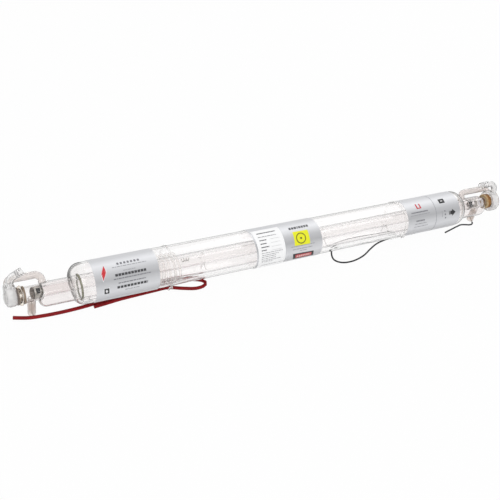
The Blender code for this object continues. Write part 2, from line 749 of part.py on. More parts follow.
def build():
    clear_scene()
    gas_envelope()
    water_jacket()
    jacket_seal()
    discharge_tube()
    gas_return_coil()
    spacers()
    support_spring()
    anode_head()
    cathode_head()
    electrode("anode_electrode", 29.5 * MM, 41.2 * MM, 6.9 * MM, 36.3 * MM)
    electrode("cathode_electrode", 676.5 * MM, 687.5 * MM, 5.7 * MM, 681 * MM)
    lead_pins()
    rear_mirror_group()
    rear_water_cap()
    output_group()
    front_water_cap()
    rear_bridge()
    front_bridge()
    nozzles()
    labels()
    cable_tie("rear_cable_tie", REAR_TIE, [(-1.2 * MM, 3.9 * MM), (-10.2 * MM, 4.5 * MM)],
              RED_RADIUS, math.radians(140))
    cable_tie("front_cable_tie", FRONT_TIE, [(1.2 * MM, 3.3 * MM), (-5.8 * MM, 3.3 * MM)],
              BLACK_RADIUS, math.radians(112))
    lead("red_lead", RED_ROUTE, RED_RADIUS, 10.8 * MM,
         finish("red_silicone", (0.36, 0.02, 0.03), roughness=0.4))
    black = finish("black_insulation", (0.02, 0.02, 0.022), roughness=0.4)
    lead("black_lead", BLACK_ROUTE, BLACK_RADIUS, 6.2 * MM, black)
    lead("spare_loop", LOOP_ROUTE, BLACK_RADIUS, 6.6 * MM, black)


build()
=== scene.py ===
"""Looks for a sealed glass laser tube: blown glass shells, foil labels, ties and two leads.

The tube lies along X, stands on its two side arms, and its beam leaves at +X. A station is a
distance in mm from the rear end, and routes, profiles, walls and labels are in mm too. Points,
and the radii of wires, rods and drops, are in metres.
"""
import math

import bmesh
import bpy
from mathutils import Matrix, Vector


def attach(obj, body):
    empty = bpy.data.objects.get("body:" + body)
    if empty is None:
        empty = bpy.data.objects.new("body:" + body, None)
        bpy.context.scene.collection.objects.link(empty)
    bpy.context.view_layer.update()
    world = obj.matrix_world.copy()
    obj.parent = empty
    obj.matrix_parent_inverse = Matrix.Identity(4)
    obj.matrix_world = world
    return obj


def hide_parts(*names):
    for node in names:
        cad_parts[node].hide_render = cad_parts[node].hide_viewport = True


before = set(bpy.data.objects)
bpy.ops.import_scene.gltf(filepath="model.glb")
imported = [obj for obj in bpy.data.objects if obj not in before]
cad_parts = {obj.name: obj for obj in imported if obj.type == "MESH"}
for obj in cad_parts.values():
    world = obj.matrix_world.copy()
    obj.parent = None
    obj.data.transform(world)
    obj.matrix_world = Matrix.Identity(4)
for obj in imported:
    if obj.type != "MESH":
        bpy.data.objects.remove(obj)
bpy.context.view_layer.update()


# The camera stands in front of the tube, above it and to its left, and is rolled a little, so
# that the tube climbs from the lower left to the upper right of the square picture.
camera_data = bpy.data.cameras.new("camera")
camera_data.sensor_width = 36.0
camera_data.lens = 57.6
camera = bpy.data.objects.new("camera", camera_data)
camera.location = (-0.48903, -0.65685, 0.69322)
camera.rotation_euler = [math.radians(turn) for turn in (49.4047, -8.9504, -26.1677)]
bpy.context.scene.collection.objects.link(camera)
bpy.context.scene.camera = camera


# The red lead carries the high voltage to the rear electrode. It is thick soft silicone, lies
# on the floor in one long flat loop, and a clear tie holds both its strands under the tube.
STATION_ZERO = -0.3615
MM = 0.001


def at(station):
    """The place on X, in metres, of a station in mm from the rear end."""
    return STATION_ZERO + station * MM


def principled(name, colour, roughness, **settings):
    """A new material with one Principled shader."""
    material = bpy.data.materials.new(name)
    material.use_nodes = True
    sockets = shader_sockets(material)
    sockets["Base Color"].default_value = (*colour, 1.0)
    sockets["Roughness"].default_value = roughness
    for socket, value in settings.items():
        sockets[socket.replace("_", " ")].default_value = value
    return material


def shader_sockets(material):
    """The inputs of a material's Principled shader."""
    return material.node_tree.nodes["Principled BSDF"].inputs


def cloud_group():
    """The soft noise on Object coordinates that clouds the finishes, as a node group."""
    group = bpy.data.node_groups.new("surface_clouds", "ShaderNodeTree")
    group.interface.new_socket("Scale", in_out="INPUT", socket_type="NodeSocketFloat")
    group.interface.new_socket("Stretch", in_out="INPUT", socket_type="NodeSocketVector")
    group.interface.new_socket("Factor", in_out="OUTPUT", socket_type="NodeSocketFloat")
    given = group.nodes.new("NodeGroupInput")
    result = group.nodes.new("NodeGroupOutput")
    places = group.nodes.new("ShaderNodeTexCoord")
    mapping = group.nodes.new("ShaderNodeMapping")
    noise = group.nodes.new("ShaderNodeTexNoise")
    noise.inputs["Detail"].default_value = 3.0
    group.links.new(places.outputs["Object"], mapping.inputs["Vector"])
    group.links.new(given.outputs["Stretch"], mapping.inputs["Scale"])
    group.links.new(mapping.outputs["Vector"], noise.inputs["Vector"])
    group.links.new(given.outputs["Scale"], noise.inputs["Scale"])
    group.links.new(noise.outputs["Fac"], result.inputs["Factor"])
    return group


surface_clouds = cloud_group()


def clouds(tree, scale, stretch=(1.0, 1.0, 1.0)):
    """The clouds at this scale, stretched along the axes; gives their factor."""
    node = tree.nodes.new("ShaderNodeGroup")
    node.node_tree = surface_clouds
    node.inputs["Scale"].default_value = scale
    node.inputs["Stretch"].default_value = stretch
    return node.outputs["Factor"]


def ramp(tree, factor, stops, target):
    """A colour ramp from a factor to a socket, with stops of (place, colour)."""
    node = tree.nodes.new("ShaderNodeValToRGB")
    while len(node.color_ramp.elements) < len(stops):
        node.color_ramp.elements.new(0.5)
    for element, (place, colour) in zip(node.color_ramp.elements, stops):
        element.position = place
        element.color = (*colour, 1.0)
    tree.links.new(factor, node.inputs["Fac"])
    tree.links.new(node.outputs["Color"], target)


def mottled(name, dark, light, roughness, scale, near=0.3, far=0.7, stretch=(1.0, 1.0, 1.0),
            **settings):
    """A finish whose colour drifts between dark and light in clouds of this scale."""
    material = principled(name, light, roughness, **settings)
    tree = material.node_tree
    ramp(tree, clouds(tree, scale, stretch), [(near, dark), (far, light)],
         shader_sockets(material)["Base Color"])
    return material


def bump(material, scale, strength, distance, stretch=(1.0, 1.0, 1.0)):
    """Roughen a finish with fine clouds of this scale."""
    tree = material.node_tree
    node = tree.nodes.new("ShaderNodeBump")
    node.inputs["Strength"].default_value = strength
    node.inputs["Distance"].default_value = distance
    tree.links.new(clouds(tree, scale, stretch), node.inputs["Height"])
    tree.links.new(node.outputs["Normal"], shader_sockets(material)["Normal"])


def insulation(name, dark, light, roughness):
    """Extruded insulation: a soft sheen, with faint marks along it from handling."""
    material = mottled(name, dark, light, roughness, 220.0, 0.35, 0.65, (0.25, 1.0, 1.0),
                       Specular_IOR_Level=0.2)
    tree = material.node_tree
    ramp(tree, clouds(tree, 900.0),
         [(0.3, (roughness - 0.08,) * 3), (0.7, (roughness + 0.1,) * 3)],
         shader_sockets(material)["Roughness"])
    bump(material, 900.0, 0.15, 0.0002)
    return material


def smooth_line(route, spacing):
    """Points a set distance apart on a smooth curve through the route, and its length."""
    knots = [Vector((at(x), y * MM, z * MM)) for x, y, z in route]
    knots = [2 * knots[0] - knots[1]] + knots + [2 * knots[-1] - knots[-2]]
    fine = []
    for index in range(1, len(knots) - 2):
        p0, p1, p2, p3 = knots[index - 1:index + 3]
        for step in range(24):
            t = step / 24
            fine.append(0.5 * (2 * p1 + (p2 - p0) * t + (2 * p0 - 5 * p1 + 4 * p2 - p3) * t * t
                               + (3 * p1 - p0 - 3 * p2 + p3) * t ** 3))
    fine.append(knots[-2])
    total = sum((b - a).length for a, b in zip(fine, fine[1:]))
    count = round(total / spacing)
    line = [fine[0]]
    travelled = 0.0
    for a, b in zip(fine, fine[1:]):
        length = (b - a).length
        while len(line) < count and travelled + length >= total * len(line) / count:
            line.append(a.lerp(b, (total * len(line) / count - travelled) / length))
        travelled += length
    return line + [fine[-1]], total


def free_lead(name, route, radius, material, node):
    """A round wire along its route, in place of the node that it hides."""
    line, length = smooth_line(route, 2.2 * radius)
    curve = bpy.data.curves.new(name, "CURVE")
    curve.dimensions = "3D"
    curve.bevel_depth = radius
    curve.bevel_resolution = 5
    curve.use_fill_caps = True
    spline = curve.splines.new("POLY")
    spline.points.add(len(line) - 1)
    for point, place in zip(spline.points, line):
        point.co = (*place, 1.0)
    spline.use_smooth = True
    curve.materials.append(material)
    wire = bpy.data.objects.new(name, curve)
    bpy.context.scene.collection.objects.link(wire)
    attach(wire, "root")
    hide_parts(node)


RED_ROUTE = [
    (8, -3.0, 2.3), (16, -5.8, 2.3), (26, -8.6, 2.3), (38, -9.8, 2.3), (54, -10.6, 2.3),
    (74, -10.4, 2.3), (94, -9.2, 2.3), (112, -7.0, 2.3), (134, -5.0, 2.3), (158, -3.6, 2.3),
    (180, -2.0, 3.0), (196.5, -1.2, 3.9), (212, -0.6, 3.0), (228, -2.2, 2.3),
    (241, -6.6, 2.3), (246.5, -12.6, 2.3), (242, -18.2, 2.3), (230, -19.4, 2.3),
    (214, -15.2, 3.0), (196.5, -10.2, 4.5), (180, -9.0, 3.2), (158, -9.0, 2.3),
    (134, -10.1, 2.3), (116, -12.0, 2.3), (101, -13.4, 2.3)]
red_silicone = insulation("red_silicone_skin", (0.22, 0.004, 0.006), (0.34, 0.007, 0.010), 0.5)
free_lead("red_wire", RED_ROUTE, 0.0022, red_silicone, "red_lead")


# The black lead is thin wire in a vinyl skin. It leaves the front electrode's side arm and
# ends free beside it. The spare loop is more of the same wire, held by the front tie.
BLACK_ROUTE = [
    (689.2, -8.9, 2.4), (687.2, -11.6, 1.8), (682.5, -12.0, 1.3), (676.5, -9.9, 1.2),
    (668.1, -8.0, 1.2), (661.5, -9.3, 1.2), (655.2, -10.7, 1.2), (643.4, -13.7, 1.2),
    (632.2, -16.5, 1.2)]
LOOP_ROUTE = [
    (585, -1.2, 1.6), (570, -1.4, 2.6), (556, -0.2, 3.2), (541.5, 1.2, 3.3),
    (527, 2.8, 2.4), (510, 5.0, 1.3), (496, 6.6, 1.2), (478, 6.8, 1.2), (460, 3.8, 1.2),
    (444.5, -1.7, 1.2), (437.3, -11.2, 1.2), (434.9, -21.1, 1.2), (439.8, -28.1, 1.2),
    (449.9, -31.5, 1.2), (464.8, -30.8, 1.2), (481.6, -25.7, 1.2), (497.8, -16.9, 1.2),
    (512.8, -9.8, 1.3), (527, -6.8, 2.2), (541.5, -5.8, 3.3), (556, -5.4, 2.6), (570, -5.0, 1.6),
    (584.7, -4.6, 1.2)]
black_skin = insulation("black_wire_skin", (0.012, 0.012, 0.014), (0.025, 0.025, 0.028), 0.36)
free_lead("black_wire", BLACK_ROUTE, 0.0011, black_skin, "black_lead")
free_lead("spare_wire", LOOP_ROUTE, 0.0011, black_skin, "spare_loop")


# The gas envelope is a wide borosilicate tube whose two ends are blown in to a shoulder and
# fused round the jacket. Its wall is 1.8 mm thick, and painted shade greys its limbs.
AXIS = 0.032
JACKET_AXIS = 0.0265


def facing(tree):
    """How far glass turns from the eye: 0 where it faces it, and 1 at its limb."""
    limb = tree.nodes.new("ShaderNodeLayerWeight")
    limb.inputs["Blend"].default_value = 0.5
    return limb.outputs["Facing"]


def paint_limb_shade_tint(tree, tint, edge, start, target):
    """A tint that turns to the edge colour towards the limb, from this start: painted shade on the
    limb.
    """
    full = start + 0.7 * (1 - start)
    ramp(tree, facing(tree), [(0.0, tint), (start, tint), (full, edge), (1.0, edge)], target)


def feed(tree, socket, value):
    """Link a socket to another, or set it to a number."""
    if isinstance(value, bpy.types.NodeSocket):
        tree.links.new(value, socket)
    else:
        socket.default_value = value


def reckon(tree, operation, *values):
    """The result of a Math node on sockets and numbers."""
    node = tree.nodes.new("ShaderNodeMath")
    node.operation = operation
    for socket, value in zip(node.inputs, values):
        feed(tree, socket, value)
    return node.outputs[0]


def rescale(tree, value, low, high, bottom=0.0, top=1.0):
    """A value from low to high, turned into one from bottom to top."""
    node = tree.nodes.new("ShaderNodeMapRange")
    feed(tree, node.inputs["Value"], value)
    feed(tree, node.inputs["From Min"], low)
    feed(tree, node.inputs["From Max"], high)
    feed(tree, node.inputs["To Min"], bottom)
    feed(tree, node.inputs["To Max"], top)
    return node.outputs["Result"]


def ray_is(tree, *kinds):
    """1 for rays of these kinds, and 0 for others."""
    path = tree.nodes.new("ShaderNodeLightPath")
    share = path.outputs[kinds[0]]
    for kind in kinds[1:]:
        share = reckon(tree, "MAXIMUM", share, path.outputs[kind])
    return share


def blend(tree, share, first, second, surface):
    """Mix two shaders, by a share of the second, into a surface socket."""
    mix = tree.nodes.new("ShaderNodeMixShader")
    tree.links.new(share, mix.inputs["Fac"])
    tree.links.new(first, mix.inputs[1])
    tree.links.new(second, mix.inputs[2])
    tree.links.new(mix.outputs["Shader"], surface)


def clear_glass(name, tint, edge, start=0.6, milk=0.0, roughness=0.01, index=1.47):
    """Clear glass whose tint greys towards its limb as painted shade, and which lets the lamps
    through to what is inside.
    """
    material = principled(name, tint, roughness, IOR=index, Transmission_Weight=1.0 - milk)
    tree = material.node_tree
    paint_limb_shade_tint(tree, tint, edge, start, shader_sockets(material)["Base Color"])
    through = tree.nodes.new("ShaderNodeBsdfTransparent")
    through.inputs["Color"].default_value = (0.97, 0.965, 0.965, 1.0)
    blend(tree, ray_is(tree, "Is Shadow Ray"), tree.nodes["Principled BSDF"].outputs["BSDF"],
          through.outputs["BSDF"], tree.nodes["Material Output"].inputs["Surface"])
    return material


def paint_limb_shade_layer(material, start, strength, grow=None):
    """Paint shade on the limb of glass, a dark layer mixed in as in a white room; grow, 0 to 1,
    makes it stronger.
    """
    tree = material.node_tree
    surface = tree.nodes["Material Output"].inputs["Surface"]
    if grow:
        start = reckon(tree, "MULTIPLY_ADD", grow, -0.18, start)
        strength = reckon(tree, "MULTIPLY_ADD", grow, 0.95 - strength, strength)
    shade = tree.nodes.new("ShaderNodeBsdfDiffuse")
    shade.inputs["Color"].default_value = (0.055, 0.055, 0.050, 1.0)
    share = rescale(tree, facing(tree), start, 0.9, 0.0, strength)
    blend(tree, share, surface.links[0].from_socket, shade.outputs["BSDF"], surface)


def place_along(tree, axis):
    """Where a point of the surface lies along this axis of the object."""
    places = tree.nodes.new("ShaderNodeTexCoord")
    apart = tree.nodes.new("ShaderNodeSeparateXYZ")
    tree.links.new(places.outputs["Object"], apart.inputs["Vector"])
    return apart.outputs[axis]


def change_along(material, axis, middle, near, far, tint, edge, start):
    """Change the glass from near to far off the middle, and give the share of the change."""
    tree = material.node_tree
    colour = shader_sockets(material)["Base Color"]
    away = reckon(tree, "ABSOLUTE", reckon(tree, "SUBTRACT", place_along(tree, axis), middle))
    share = rescale(tree, away, near, far)
    mix = tree.nodes.new("ShaderNodeMix")
    mix.data_type = "RGBA"
    tree.links.new(share, mix.inputs["Factor"])
    tree.links.new(colour.links[0].from_socket, mix.inputs["A"])
    paint_limb_shade_tint(tree, tint, edge, start, mix.inputs["B"])
    tree.links.new(mix.outputs["Result"], colour)
    return share


def deselect():
    """Select nothing, so that the next operator acts on its own piece only."""
    bpy.ops.object.select_all(action="DESELECT")


def added(name):
    """The primitive that was just added, named."""
    piece = bpy.context.object
    piece.name = piece.data.name = name
    return piece


def apply_place():
    """Put the place, turn and size of the selected piece into its mesh."""
    bpy.ops.object.transform_apply(location=True, rotation=True, scale=True)


def closed_skin():
    """Merge and close what is in edit mode, and turn its faces out."""
    bpy.ops.mesh.select_all(action="SELECT")
    bpy.ops.mesh.remove_doubles(threshold=1e-6)
    bpy.ops.mesh.normals_make_consistent(inside=False)


def lathe(name, profile, height=AXIS, steps=96):
    """Turn a profile of (station, radius) in mm about an axis along X at this height.

    It starts as one point, is pulled out along the profile, and is spun all the way round.
    """
    deselect()
    start = (at(profile[0][0]), 0.0, height + profile[0][1] * MM)
    bpy.ops.mesh.primitive_plane_add(size=MM, location=start)
    piece = added(name)
    bpy.ops.object.mode_set(mode="EDIT")
    bpy.ops.mesh.merge(type="CENTER")
    closed = profile[0][1] > 0 or profile[-1][1] > 0
    stops = profile + [profile[0]] if closed else profile
    for before, after in zip(stops, stops[1:]):
        move = ((after[0] - before[0]) * MM, 0.0, (after[1] - before[1]) * MM)
        bpy.ops.mesh.extrude_region_move(TRANSFORM_OT_translate={"value": move})
    bpy.ops.mesh.select_all(action="SELECT")
    bpy.ops.mesh.spin(steps=steps, angle=math.tau, center=(start[0], 0.0, height),
                      axis=(1, 0, 0))
    closed_skin()
    bpy.ops.object.mode_set(mode="OBJECT")
    apply_place()
    return piece


def arc(station, radius, bend, start, end, count=8):
    """Points of a rounded corner in a profile, in mm, from start to end degrees."""
    points = []
    for step in range(count + 1):
        angle = math.radians(start + (end - start) * step / count)
        points.append((station + bend * math.cos(angle), radius + bend * math.sin(angle)))
    return points


def settle(piece, material, slot, *nodes):
    """Shade a finished piece, give it its material, and bind it to the object."""
    deselect()
    piece.select_set(True)
    bpy.context.view_layer.objects.active = piece
    apply_place()
    bpy.ops.object.shade_smooth_by_angle(angle=math.radians(35))
    if not piece.data.materials:
        piece.data.materials.append(material)
    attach(piece, "root")
    if nodes:
        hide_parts(*nodes)
    deselect()


def cut(piece, tool, operation="DIFFERENCE"):
    """Cut a tool out of a piece, or fuse it on, and throw the tool away."""
    deselect()
    piece.select_set(True)
    bpy.context.view_layer.objects.active = piece
    work = piece.modifiers.new("cut", "BOOLEAN")
    work.operation = operation
    work.solver = "EXACT"
    work.object = tool
    bpy.ops.object.modifier_apply(modifier="cut")
    bpy.data.objects.remove(tool)
    deselect()


def bar(start, end, radius, vertices=48):
    """A plain solid rod between two points, for fusing on or cutting with."""
    deselect()
    middle = (Vector(start) + Vector(end)) / 2
    line = Vector(end) - Vector(start)
    bpy.ops.mesh.primitive_cylinder_add(vertices=vertices, radius=radius, depth=line.length,
                                        location=middle)
    rod = added("rod")
    rod.rotation_mode = "QUATERNION"
    rod.rotation_quaternion = line.to_track_quat("Z", "Y")
    apply_place()
    return rod


def off_axis(face, height=AXIS):
    """How far a face lies from an axis along X at this height."""
    return math.hypot(face.center.y, face.center.z - height)


# Painted shade: the envelope's limbs grey, and turn much darker at each shoulder.
envelope_glass = clear_glass("envelope_glass", (0.985, 0.980, 0.979), (0.30, 0.30, 0.28), 0.66)
shoulder_shade = change_along(envelope_glass, "X", 0.00375, 0.2715, 0.2765, (0.935, 0.925, 0.917),
                         (0.12, 0.12, 0.11), 0.6)
glass_tree = envelope_glass.node_tree
# The painted shade on the limbs grows towards the top of each shoulder.
height = rescale(glass_tree, place_along(glass_tree, "Z"), AXIS - 0.012, AXIS + 0.010, 0.1)
paint_limb_shade_layer(envelope_glass, 0.68, 0.32, reckon(glass_tree, "MULTIPLY", height, shoulder_shade))
ENVELOPE = 25
SHOULDER = 14.0
WALL = 1.8
REAR_LIP = 75.5
FRONT_LIP = 655.0
outer = (arc(REAR_LIP + SHOULDER, ENVELOPE - SHOULDER, SHOULDER, 180, 90, 12)
         + arc(FRONT_LIP - SHOULDER, ENVELOPE - SHOULDER, SHOULDER, 90, 0, 12))
inner = (arc(FRONT_LIP - SHOULDER, ENVELOPE - SHOULDER, SHOULDER - WALL, 0, 90, 12)
         + arc(REAR_LIP + SHOULDER, ENVELOPE - SHOULDER, SHOULDER - WALL, 90, 180, 12))
envelope = lathe("envelope_shell", [(REAR_LIP, 5)] + outer
                 + [(FRONT_LIP, 5), (FRONT_LIP - WALL, 5)] + inner + [(REAR_LIP + WALL, 5)])
cut(envelope, bar((at(60), 0, JACKET_AXIS), (at(670), 0, JACKET_AXIS), 0.0148, 96))


def drop(place, radius, stretch=(1.0, 1.0, 1.0), lean=0.0):
    """A melted drop of glass, to be fused on a piece."""
    deselect()
    bpy.ops.mesh.primitive_uv_sphere_add(segments=32, ring_count=16, radius=radius,
                                         location=place, rotation=(lean, 0, 0), scale=stretch)
    blob = added("drop")
    apply_place()
    return blob


def beside(station, reach, lean=0.0):
    """A point beside the axis: reach in mm from it, turned to the back by the lean."""
    return Vector((at(station), reach * MM * math.sin(lean), AXIS + reach * MM * math.cos(lean)))


TIP_OFF = math.radians(-104)
cut(envelope, drop(beside(88, 23.4, TIP_OFF), 0.0042, (1.15, 0.75, 1.0), -TIP_OFF), "UNION")
cut(envelope, drop(beside(92, 24.6, TIP_OFF), 0.0021, (1.3, 0.9, 0.8), -TIP_OFF), "UNION")
fused = clear_glass("fused_glass", (0.93, 0.925, 0.915), (0.80, 0.79, 0.77), 0.5, milk=0.75,
                    roughness=0.3)
envelope.data.materials.append(envelope_glass)
envelope.data.materials.append(fused)
for face in envelope.data.polygons:
    bore = off_axis(face, JACKET_AXIS)
    face.material_index = int(bore < 0.0150 or off_axis(face) > 0.02502)
settle(envelope, envelope_glass, "borosilicate_glass", "outer_envelope")


# The water jacket is a narrower tube of the same glass, fused through both ends of the
# envelope, where it sits low. The discharge tube runs straight through it from head to head.
def frost_joints(piece, glass, joints):
    """Give the cut edges round each joint, a line and a radius, the look of fused glass."""
    piece.data.materials.append(glass)
    piece.data.materials.append(fused)
    for face in piece.data.polygons:
        for start, end, radius in joints:
            span = Vector(end) - Vector(start)
            line = span.normalized()
            arm = face.center - Vector(start)
            reach = (arm - line * arm.dot(line)).length
            if abs(reach - radius) < 0.00012 and 0 < arm.dot(line) < span.length:
                face.material_index = 1


# Past the envelope the jacket's ends take a pinker tint, and painted shade greys and darkens its
# limbs, more at the ends.
jacket_glass = clear_glass("jacket_glass", (0.980, 0.972, 0.970), (0.30, 0.29, 0.28), 0.6)
change_along(jacket_glass, "X", 0.00375, 0.2870, 0.2900, (0.942, 0.920, 0.916),
             (0.24, 0.23, 0.22), 0.58)
paint_limb_shade_layer(jacket_glass, 0.68, 0.4)
JACKET = 14.5
WATER_WALL = 1.3
REAR_END = 38
FRONT_END = 702.2
BEND = 8
shell = (arc(REAR_END + BEND, JACKET - BEND, BEND, 180, 90, 10)
         + arc(FRONT_END - BEND, JACKET - BEND, BEND, 90, 0, 10))
room = (arc(FRONT_END - BEND, JACKET - BEND, BEND - WATER_WALL, 0, 90, 10)
        + arc(REAR_END + BEND, JACKET - BEND, BEND - WATER_WALL, 90, 180, 10))
jacket = lathe("jacket_shell", [(REAR_END, 3)] + shell + [(FRONT_END, 3)]
               + [(FRONT_END - WATER_WALL, 3)] + room + [(REAR_END + WATER_WALL, 3)], JACKET_AXIS)
ANODE_HOLE = 0.0098
CATHODE_HOLE = 0.0076
ARM_HOLE = 0.00505
BRIDGE_HOLE = 0.0047
CATHODE_ARM = 692.5
BRIDGE_FEET = (45.0, 667.5)
LEAN = math.radians(50)
cut(jacket, bar((at(30), 0, AXIS), (at(43.1), 0, AXIS), ANODE_HOLE, 72))
cut(jacket, bar((at(43), 0, AXIS), (at(63), 0, AXIS), 0.0068, 72))
cut(jacket, bar((at(690), 0, AXIS), (at(710), 0, AXIS), CATHODE_HOLE, 72))
cut(jacket, bar((at(CATHODE_ARM), 0, AXIS - 0.010), (at(CATHODE_ARM), 0, AXIS - 0.026), ARM_HOLE))
for foot in BRIDGE_FEET:
    cut(jacket, bar(beside(foot, 8.2, LEAN), beside(foot, 16, LEAN), BRIDGE_HOLE))
cut(jacket, drop(beside(51.5, 10.6, math.radians(42)), 0.0012), "UNION")
frost_joints(jacket, jacket_glass,
             [(beside(foot, 4, LEAN), beside(foot, 16, LEAN), BRIDGE_HOLE) for foot in BRIDGE_FEET]
             + [((at(36), 0, AXIS), (at(43), 0, AXIS), ANODE_HOLE),
                ((at(698), 0, AXIS), (at(710), 0, AXIS), CATHODE_HOLE),
                ((at(CATHODE_ARM), 0, AXIS - 0.008), (at(CATHODE_ARM), 0, AXIS - 0.026),
                 ARM_HOLE)])
settle(jacket, jacket_glass, "borosilicate_glass", "water_jacket")

discharge = lathe("discharge_bore", [(41.6, 5.0), (41.6, 6.5), (672, 6.5), (672, 5.0)], steps=64)
settle(discharge, jacket_glass, "borosilicate_glass", "discharge_tube")
for number in (1, 2, 3):
    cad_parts[f"spacer_ring_{number}"].material_slots[0].material = jacket_glass


# The jacket seal is a soft ring of olive rubber. It sits round the jacket just inside the
# envelope's rear shoulder, and keeps the two glasses from knocking together.
olive = mottled("olive_rubber_skin", (0.15, 0.145, 0.085), (0.26, 0.255, 0.17), 0.55, 350.0)
gasket = lathe("jacket_gasket", [(85, 14.8)] + arc(85.9, 15.5, 0.7, 180, 90, 5)
               + arc(86.6, 15.5, 0.7, 90, 0, 5) + [(87.5, 14.8)], JACKET_AXIS)
settle(gasket, olive, "olive_rubber", "jacket_seal")


# The gas return is a thin glass tube wound round the jacket at the rear, long enough that the
# discharge can't take it as a short cut. A small wire spring beside it steadies the jacket.
def thicken(skin, wall, offset):
    """Give a skin its wall, in mm, to its inside for -1 and to its outside for 1."""
    shell = skin.modifiers.new("wall", "SOLIDIFY")
    shell.thickness = wall * MM
    shell.offset = offset
    bpy.ops.object.modifier_apply(modifier="wall")


COIL_START = 181
COIL_AXIS = AXIS - 0.0042
COIL_RADIUS = 0.0176
COIL_TURNS = 4.5
COIL_PITCH = 0.0062
deselect()
bpy.ops.mesh.primitive_circle_add(vertices=14, radius=0.0011,
                                  location=(at(COIL_START), 0, COIL_AXIS + COIL_RADIUS),
                                  rotation=(math.radians(90), 0, 0))
coil = added("return_coil")
apply_place()
pivot = bpy.data.objects.new("pivot", None)
pivot.location = (at(COIL_START), 0, COIL_AXIS)
bpy.context.scene.collection.objects.link(pivot)
screw = coil.modifiers.new("wind", "SCREW")
screw.axis = "X"
screw.object = pivot
screw.angle = math.tau * COIL_TURNS
screw.screw_offset = COIL_PITCH * COIL_TURNS
screw.steps = screw.render_steps = int(48 * COIL_TURNS)
bpy.ops.object.modifier_apply(modifier="wind")
bpy.data.objects.remove(pivot)
bpy.ops.object.mode_set(mode="EDIT")
bpy.ops.mesh.select_all(action="SELECT")
bpy.ops.mesh.remove_doubles(threshold=1e-6)
bpy.ops.object.mode_set(mode="OBJECT")
thicken(coil, 0.5, -1)
coil_glass = clear_glass("coil_glass", (0.965, 0.955, 0.948), (0.60, 0.59, 0.57), index=1.22)
settle(coil, coil_glass, "borosilicate_glass", "gas_return_coil")

nickel = mottled("dull_nickel", (0.30, 0.28, 0.25), (0.60, 0.57, 0.53), 0.38, 260.0, 0.35, 0.65,
                 Metallic=1.0)
bump(nickel, 260.0, 0.2, 0.0002)
for name in ("support_spring", "anode_lead_pin", "cathode_lead_pin"):
    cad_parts[name].material_slots[0].material = nickel


# The two heads are thick glass tubes at the ends of the discharge tube. A side arm of milky
# glass is fused under each one; it carries that end, and the electrode's pin runs down inside.
head_glass = clear_glass("head_glass", (0.955, 0.945, 0.940), (0.36, 0.34, 0.32), 0.45)
head_milk = change_along(head_glass, "Z", 0.1, 0.0775, 0.0815, (0.84, 0.77, 0.73),
                         (0.66, 0.60, 0.56), 0.5)
head_tree = head_glass.node_tree
head_tree.links.new(reckon(head_tree, "MULTIPLY_ADD", head_milk, 0.45, 0.01),
                    shader_sockets(head_glass)["Roughness"])


ARM_RADIUS = 0.00475
ARM_BORE = 0.00345


def side_arm(head, station, depth, bore_depth):
    """Fuse a side arm under a head, and open it into the head, from these depths below its axis."""
    cut(head, bar((at(station), 0, AXIS - depth), (at(station), 0, 0), ARM_RADIUS), "UNION")
    cut(head, bar((at(station), 0, AXIS - bore_depth), (at(station), 0, -0.002), ARM_BORE))


def lead_hole(head, station, turn):
    """Open a side arm near its foot, where its lead comes out at this turn in the floor's plane."""
    middle = Vector((at(station), 0, 0.0024))
    outlet = Vector((math.cos(math.radians(turn)), math.sin(math.radians(turn)), 0)) * 0.008
    cut(head, bar(middle, middle + outlet, 0.00095, 20))


ANODE_ARM = 30.5
anode_head = lathe("anode_head_shell",
                   [(20, 8.2), (20, 9.5)] + arc(40.8, 7.5, 2, 90, 0, 5)
                   + [(42.8, 6.8), (41.5, 6.8), (41.5, 8.2)], steps=80)
side_arm(anode_head, ANODE_ARM, 0.0086, 0.006)
lead_hole(anode_head, ANODE_ARM, -90)
# The rounded inner end of the anode head is tinted near black: painted shade.
end_shade_glass = clear_glass("painted_shade_end_glass", (0.22, 0.21, 0.18), (0.05, 0.05, 0.04), 0.3)
anode_head.data.materials.append(head_glass)
anode_head.data.materials.append(end_shade_glass)
for face in anode_head.data.polygons:
    face.material_index = int(face.center.x > at(41.3))
settle(anode_head, head_glass, "borosilicate_glass", "anode_head")

cathode_head = lathe("cathode_head_shell", [(673, 6.2), (673, 7.3), (703, 7.3), (703, 6.2)],
                     steps=72)
side_arm(cathode_head, CATHODE_ARM, 0.0067, 0.004)
lead_hole(cathode_head, CATHODE_ARM, -110)
settle(cathode_head, head_glass, "borosilicate_glass", "cathode_head")


# Each electrode is a sleeve rolled from nickel sheet. A window is cut in it, and its rims are
# turned over. Painted shade makes the inside near black past the window; it is brown at the mouth.
def round_box(near, far, radius, bore, bend, count=6):
    """The profile of a closed round box, which starts and ends at its bore."""
    return ([(near, bore)] + arc(near + bend, radius - bend, bend, 180, 90, count)
            + arc(far - bend, radius - bend, bend, 90, 0, count) + [(far, bore)])


def electrode(name, near, far, radius, window, node):
    """A rolled sleeve with turned rims, a window in its side and a mouth cut aslant."""
    sleeve = lathe(name, round_box(near, far, radius + 0.3, radius - 0.5, 0.35, 3)
                   + [(near + 4.5, radius - 0.5)], steps=72)
    deselect()
    aslant = math.radians(31)
    bpy.ops.mesh.primitive_cube_add(size=1, location=beside(window, radius, -aslant),
                                    rotation=(aslant, 0, 0), scale=(0.0050, 0.0064, 0.006))
    opening = added("opening")
    apply_place()
    cut(sleeve, opening)
    mouth = Vector((at(near + 1.9), 0, AXIS))
    cut(sleeve, bar(mouth, mouth + Vector((-0.020, -0.0038, 0.0038)), 0.012))
    for finish in (nickel, painted_shade_inside, browned):
        sleeve.data.materials.append(finish)
    for face in sleeve.data.polygons:
        if off_axis(face) < (radius - 0.4) * MM:
            face.material_index = 1 if face.center.x > at(near + 4.4) else 2
    settle(sleeve, nickel, "nickel_steel", node)


